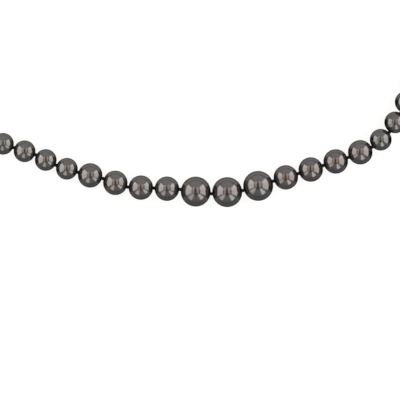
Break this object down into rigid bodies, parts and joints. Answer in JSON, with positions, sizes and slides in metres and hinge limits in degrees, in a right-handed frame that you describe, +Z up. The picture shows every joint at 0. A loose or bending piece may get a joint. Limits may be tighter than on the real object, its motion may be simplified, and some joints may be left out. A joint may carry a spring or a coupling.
{
  "type": "pearl necklace",
  "caption": "Graduated strand of dark round pearls, knotted on silk between pearls and closed by a lobster clasp, lying unfastened in a wide U.",
  "frame": {"origin": "under the middle of the necklace's footprint, on the surface that it lies on", "axes": "+X to the wearer's left along the front of the strand, +Y from the front pearls towards the clasp, +Z up off the surface"},
  "size_m": [0.222, 0.1838, 0.011],
  "materials": {
    "nacre": "gloss",
    "silk": "matte",
    "white_metal": "polished"
  },
  "bodies": {
    "pearl_24": {"pearl_24": "nacre", "silk_thread": "silk"},
    "pearl_01": {"pearl_01": "nacre"},
    "pearl_02": {"pearl_02": "nacre"},
    "pearl_03": {"pearl_03": "nacre"},
    "pearl_04": {"pearl_04": "nacre"},
    "pearl_05": {"pearl_05": "nacre"},
    "pearl_06": {"pearl_06": "nacre"},
    "pearl_07": {"pearl_07": "nacre"},
    "pearl_08": {"pearl_08": "nacre"},
    "pearl_09": {"pearl_09": "nacre"},
    "pearl_10": {"pearl_10": "nacre"},
    "pearl_11": {"pearl_11": "nacre"},
    "pearl_12": {"pearl_12": "nacre"},
    "pearl_13": {"pearl_13": "nacre"},
    "pearl_14": {"pearl_14": "nacre"},
    "pearl_15": {"pearl_15": "nacre"},
    "pearl_16": {"pearl_16": "nacre"},
    "pearl_17": {"pearl_17": "nacre"},
    "pearl_18": {"pearl_18": "nacre"},
    "pearl_19": {"pearl_19": "nacre"},
    "pearl_20": {"pearl_20": "nacre"},
    "pearl_21": {"pearl_21": "nacre"},
    "pearl_22": {"pearl_22": "nacre"},
    "pearl_23": {"pearl_23": "nacre"},
    "pearl_25": {"pearl_25": "nacre"},
    "pearl_26": {"pearl_26": "nacre"},
    "pearl_27": {"pearl_27": "nacre"},
    "pearl_28": {"pearl_28": "nacre"},
    "pearl_29": {"pearl_29": "nacre"},
    "pearl_30": {"pearl_30": "nacre"},
    "pearl_31": {"pearl_31": "nacre"},
    "pearl_32": {"pearl_32": "nacre"},
    "pearl_33": {"pearl_33": "nacre"},
    "pearl_34": {"pearl_34": "nacre"},
    "pearl_35": {"pearl_35": "nacre"},
    "pearl_36": {"pearl_36": "nacre"},
    "pearl_37": {"pearl_37": "nacre"},
    "pearl_38": {"pearl_38": "nacre"},
    "pearl_39": {"pearl_39": "nacre"},
    "pearl_40": {"pearl_40": "nacre"},
    "pearl_41": {"pearl_41": "nacre"},
    "pearl_42": {"pearl_42": "nacre"},
    "pearl_43": {"pearl_43": "nacre"},
    "pearl_44": {"pearl_44": "nacre"},
    "pearl_45": {"pearl_45": "nacre"},
    "pearl_46": {"pearl_46": "nacre"},
    "pearl_47": {"pearl_47": "nacre"},
    "french_wire_left": {"french_wire_left": "white_metal"},
    "end_ring": {"end_ring": "white_metal"},
    "french_wire_right": {"french_wire_right": "white_metal"},
    "jump_ring": {"jump_ring": "white_metal"},
    "clasp": {"clasp_body": "white_metal", "clasp_rivet": "white_metal", "clasp_spring": "white_metal"},
    "clasp_lever": {"clasp_lever": "white_metal"}
  },
  "joints": [
    {"name": "clasp_lever_pivot", "type": "hinge", "parent": "clasp", "child": "clasp_lever", "pos_m": [0.09145, 0.08621, 0.0015], "axis": [0, 0, 1], "range_deg": [0, 22], "stiffness_Nm_per_rad": 0.004, "springref_deg": -5.73, "deforming": ["clasp_spring"]},
    {"name": "clasp_swivel", "type": "hinge", "parent": "jump_ring", "child": "clasp", "pos_m": [0.09195, 0.08072, 0.0015], "axis": [0, 0, 1], "range_deg": [-25, 25]},
    {"name": "end_ring_swing", "type": "hinge", "parent": "french_wire_left", "child": "end_ring", "pos_m": [-0.10251, 0.03465, 0.004], "axis": [0.9703, -0.2419, 0], "range_deg": [-30, 30]},
    {"name": "jump_ring_swing", "type": "hinge", "parent": "french_wire_right", "child": "jump_ring", "pos_m": [0.09315, 0.07761, 0.004], "axis": [0.9336, 0.3584, 0], "range_deg": [-30, 30]},
    {"name": "left_loop_lift", "type": "hinge", "parent": "pearl_01", "child": "french_wire_left", "pos_m": [-0.10365, 0.03009, 0.004], "axis": [0.9703, -0.2419, 0], "range_deg": [-30, 30]},
    {"name": "right_loop_sideways", "type": "hinge", "parent": "pearl_47", "child": "french_wire_right", "pos_m": [0.09483, 0.07322, 0.004], "axis": [0, 0, 1], "range_deg": [-30, 30]},
    {"name": "knot_24_lift", "type": "hinge", "parent": "pearl_24", "child": "pearl_25", "pos_m": [0.03353, -0.08578, 0.0055], "axis": [-0.1994, 0.9799, 0], "range_deg": [-27, 27], "deforming": ["silk_thread"]},
    {"name": "knot_23_sideways", "type": "hinge", "parent": "pearl_24", "child": "pearl_23", "pos_m": [0.022, -0.08699, 0.0055], "axis": [0, 0, 1], "range_deg": [-16, 44]},
    {"name": "knot_25_sideways", "type": "hinge", "parent": "pearl_25", "child": "pearl_26", "pos_m": [0.04462, -0.08239, 0.0055], "axis": [0, 0, 1], "range_deg": [-30, 30]},
    {"name": "knot_22_lift", "type": "hinge", "parent": "pearl_23", "child": "pearl_22", "pos_m": [0.01051, -0.08538, 0.0055], "axis": [-0.096, -0.9954, 0], "range_deg": [-35, 23]},
    {"name": "knot_26_lift", "type": "hinge", "parent": "pearl_26", "child": "pearl_27", "pos_m": [0.05375, -0.0796, 0.0045], "axis": [0.3007, -0.9537, 0], "range_deg": [-35, 23]},
    {"name": "knot_21_sideways", "type": "hinge", "parent": "pearl_22", "child": "pearl_21", "pos_m": [0.00097, -0.08488, 0.0045], "axis": [0, 0, -1], "range_deg": [-29, 31]},
    {"name": "knot_27_sideways", "type": "hinge", "parent": "pearl_27", "child": "pearl_28", "pos_m": [0.06289, -0.07663, 0.0045], "axis": [0, 0, 1], "range_deg": [-30, 30]},
    {"name": "knot_20_lift", "type": "hinge", "parent": "pearl_21", "child": "pearl_20", "pos_m": [-0.00862, -0.08454, 0.0045], "axis": [0.1822, 0.9833, 0], "range_deg": [-24, 24]},
    {"name": "knot_28_lift", "type": "hinge", "parent": "pearl_28", "child": "pearl_29", "pos_m": [0.07202, -0.07366, 0.0045], "axis": [0.3502, -0.9367, 0], "range_deg": [-29, 29]},
    {"name": "knot_19_sideways", "type": "hinge", "parent": "pearl_20", "child": "pearl_19", "pos_m": [-0.0177, -0.08142, 0.0045], "axis": [0, 0, 1], "range_deg": [-35, 25]},
    {"name": "knot_29_sideways", "type": "hinge", "parent": "pearl_29", "child": "pearl_30", "pos_m": [0.08076, -0.06995, 0.0045], "axis": [0, 0, -1], "range_deg": [-12, 48]},
    {"name": "knot_18_lift", "type": "hinge", "parent": "pearl_19", "child": "pearl_18", "pos_m": [-0.02692, -0.07912, 0.0045], "axis": [0.2756, 0.9613, 0], "range_deg": [-26, 32]},
    {"name": "knot_30_lift", "type": "hinge", "parent": "pearl_30", "child": "pearl_31", "pos_m": [0.08709, -0.06445, 0.004], "axis": [-0.7661, 0.6427, 0], "range_deg": [-21, 27]},
    {"name": "knot_17_sideways", "type": "hinge", "parent": "pearl_18", "child": "pearl_17", "pos_m": [-0.03489, -0.07653, 0.004], "axis": [0, 0, -1], "range_deg": [-39, 21]},
    {"name": "knot_31_sideways", "type": "hinge", "parent": "pearl_31", "child": "pearl_32", "pos_m": [0.09141, -0.05725, 0.004], "axis": [0, 0, -1], "range_deg": [-23, 37]},
    {"name": "knot_16_lift", "type": "hinge", "parent": "pearl_17", "child": "pearl_16", "pos_m": [-0.04238, -0.07272, 0.004], "axis": [-0.3827, -0.9239, 0], "range_deg": [-28, 28]},
    {"name": "knot_32_lift", "type": "hinge", "parent": "pearl_32", "child": "pearl_33", "pos_m": [0.09483, -0.04958, 0.004], "axis": [-0.9239, 0.3827, 0], "range_deg": [-29, 29]},
    {"name": "knot_15_sideways", "type": "hinge", "parent": "pearl_16", "child": "pearl_15", "pos_m": [-0.05036, -0.07012, 0.004], "axis": [0, 0, 1], "range_deg": [-28, 32]},
    {"name": "knot_33_sideways", "type": "hinge", "parent": "pearl_33", "child": "pearl_34", "pos_m": [0.09784, -0.04174, 0.004], "axis": [0, 0, 1], "range_deg": [-33, 27]},
    {"name": "knot_14_lift", "type": "hinge", "parent": "pearl_15", "child": "pearl_14", "pos_m": [-0.05826, -0.06725, 0.004], "axis": [-0.3907, -0.9205, 0], "range_deg": [-29, 29]},
    {"name": "knot_34_lift", "type": "hinge", "parent": "pearl_34", "child": "pearl_35", "pos_m": [0.10044, -0.03375, 0.004], "axis": [0.9588, -0.284, 0], "range_deg": [-29, 29]},
    {"name": "knot_13_sideways", "type": "hinge", "parent": "pearl_14", "child": "pearl_13", "pos_m": [-0.06581, -0.06356, 0.004], "axis": [0, 0, -1], "range_deg": [-36, 24]},
    {"name": "knot_35_sideways", "type": "hinge", "parent": "pearl_35", "child": "pearl_36", "pos_m": [0.10261, -0.02563, 0.004], "axis": [0, 0, 1], "range_deg": [-33, 27]},
    {"name": "knot_12_lift", "type": "hinge", "parent": "pearl_13", "child": "pearl_12", "pos_m": [-0.07293, -0.05911, 0.004], "axis": [0.5736, 0.8192, 0], "range_deg": [-29, 29]},
    {"name": "knot_36_lift", "type": "hinge", "parent": "pearl_36", "child": "pearl_37", "pos_m": [0.10436, -0.01742, 0.004], "axis": [0.9833, -0.1822, 0], "range_deg": [-29, 29]},
    {"name": "knot_11_sideways", "type": "hinge", "parent": "pearl_12", "child": "pearl_11", "pos_m": [-0.07955, -0.05394, 0.004], "axis": [0, 0, 1], "range_deg": [-24, 36]},
    {"name": "knot_37_sideways", "type": "hinge", "parent": "pearl_37", "child": "pearl_38", "pos_m": [0.10567, -0.00912, 0.004], "axis": [0, 0, -1], "range_deg": [-27, 33]},
    {"name": "knot_10_lift", "type": "hinge", "parent": "pearl_11", "child": "pearl_10", "pos_m": [-0.08559, -0.04811, 0.004], "axis": [0.7314, 0.682, 0], "range_deg": [-29, 29]},
    {"name": "knot_38_lift", "type": "hinge", "parent": "pearl_38", "child": "pearl_39", "pos_m": [0.10655, -0.00077, 0.004], "axis": [-0.9969, 0.0785, 0], "range_deg": [-29, 29]},
    {"name": "knot_09_sideways", "type": "hinge", "parent": "pearl_10", "child": "pearl_09", "pos_m": [-0.09099, -0.04167, 0.004], "axis": [0, 0, -1], "range_deg": [-36, 24]},
    {"name": "knot_39_sideways", "type": "hinge", "parent": "pearl_39", "child": "pearl_40", "pos_m": [0.10699, 0.00762, 0.004], "axis": [0, 0, -1], "range_deg": [-27, 33]},
    {"name": "knot_08_lift", "type": "hinge", "parent": "pearl_09", "child": "pearl_08", "pos_m": [-0.09569, -0.03471, 0.004], "axis": [-0.8572, -0.515, 0], "range_deg": [-29, 29]},
    {"name": "knot_40_lift", "type": "hinge", "parent": "pearl_40", "child": "pearl_41", "pos_m": [0.10699, 0.01602, 0.004], "axis": [-0.9997, -0.0262, 0], "range_deg": [-29, 29]},
    {"name": "knot_07_sideways", "type": "hinge", "parent": "pearl_08", "child": "pearl_07", "pos_m": [-0.09963, -0.02729, 0.004], "axis": [0, 0, 1], "range_deg": [-24, 36]},
    {"name": "knot_41_sideways", "type": "hinge", "parent": "pearl_41", "child": "pearl_42", "pos_m": [0.10655, 0.02441, 0.004], "axis": [0, 0, 1], "range_deg": [-33, 27]},
    {"name": "knot_06_lift", "type": "hinge", "parent": "pearl_07", "child": "pearl_06", "pos_m": [-0.10278, -0.0195, 0.004], "axis": [-0.9455, -0.3256, 0], "range_deg": [-29, 29]},
    {"name": "knot_42_lift", "type": "hinge", "parent": "pearl_42", "child": "pearl_43", "pos_m": [0.10567, 0.03277, 0.004], "axis": [0.9914, 0.1305, 0], "range_deg": [-29, 29]},
    {"name": "knot_05_sideways", "type": "hinge", "parent": "pearl_06", "child": "pearl_05", "pos_m": [-0.10509, -0.01143, 0.004], "axis": [0, 0, -1], "range_deg": [-36, 24]},
    {"name": "knot_43_sideways", "type": "hinge", "parent": "pearl_43", "child": "pearl_44", "pos_m": [0.10436, 0.04106, 0.004], "axis": [0, 0, 1], "range_deg": [-33, 27]},
    {"name": "knot_04_lift", "type": "hinge", "parent": "pearl_05", "child": "pearl_04", "pos_m": [-0.10655, -0.00316, 0.004], "axis": [0.9925, 0.1219, 0], "range_deg": [-29, 29]},
    {"name": "knot_44_lift", "type": "hinge", "parent": "pearl_44", "child": "pearl_45", "pos_m": [0.10261, 0.04928, 0.004], "axis": [0.9724, 0.2334, 0], "range_deg": [-29, 29]},
    {"name": "knot_03_sideways", "type": "hinge", "parent": "pearl_04", "child": "pearl_03", "pos_m": [-0.10714, 0.00522, 0.004], "axis": [0, 0, 1], "range_deg": [-24, 36]},
    {"name": "knot_45_sideways", "type": "hinge", "parent": "pearl_45", "child": "pearl_46", "pos_m": [0.10044, 0.05739, 0.004], "axis": [0, 0, -1], "range_deg": [-27, 33]},
    {"name": "knot_02_lift", "type": "hinge", "parent": "pearl_03", "child": "pearl_02", "pos_m": [-0.10685, 0.01362, 0.004], "axis": [0.9962, -0.0872, 0], "range_deg": [-29, 29]},
    {"name": "knot_46_lift", "type": "hinge", "parent": "pearl_46", "child": "pearl_47", "pos_m": [0.09784, 0.06538, 0.004], "axis": [-0.9426, -0.3338, 0], "range_deg": [-29, 29]},
    {"name": "knot_01_sideways", "type": "hinge", "parent": "pearl_02", "child": "pearl_01", "pos_m": [-0.10568, 0.02194, 0.004], "axis": [0, 0, -1], "range_deg": [-36, 24]}
  ]
}
